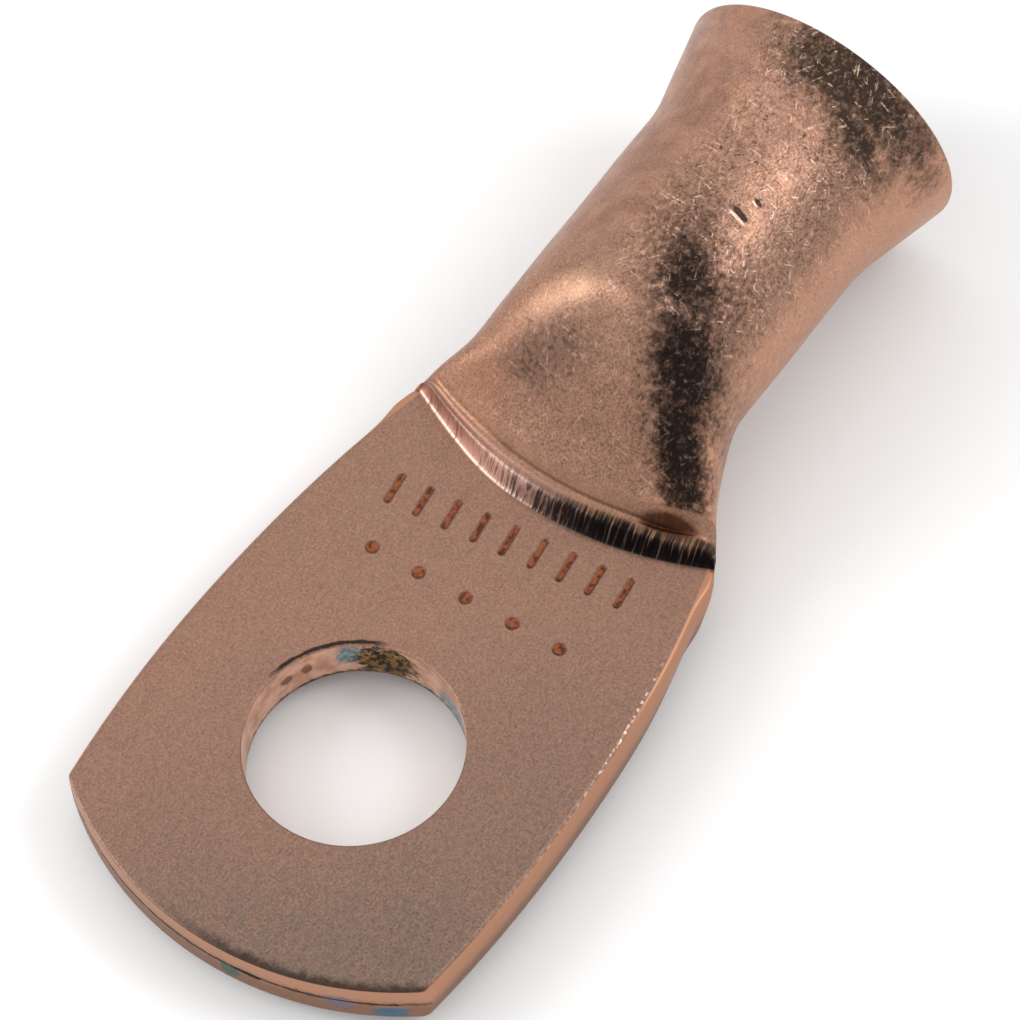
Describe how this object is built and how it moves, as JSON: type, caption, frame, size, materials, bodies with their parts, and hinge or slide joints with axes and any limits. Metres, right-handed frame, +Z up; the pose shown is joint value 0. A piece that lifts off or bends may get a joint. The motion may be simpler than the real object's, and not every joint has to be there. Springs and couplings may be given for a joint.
{
  "type": "copper cable lug",
  "caption": "Copper tube lug with a flattened palm pierced for a stud, a curved step, and a round wire barrel with a belled mouth.",
  "frame": {"origin": "centre of the stud hole on the palm's underside", "axes": "+X runs along the barrel to its mouth, +Z points up out of the palm, +Y to the left when looking along +X"},
  "size_m": [0.0329, 0.0142, 0.0096],
  "materials": {
    "copper": "bare drawn copper, handled and slightly oxidised"
  },
  "bodies": {
    "root": {"lug": "copper"}
  },
  "joints": []
}
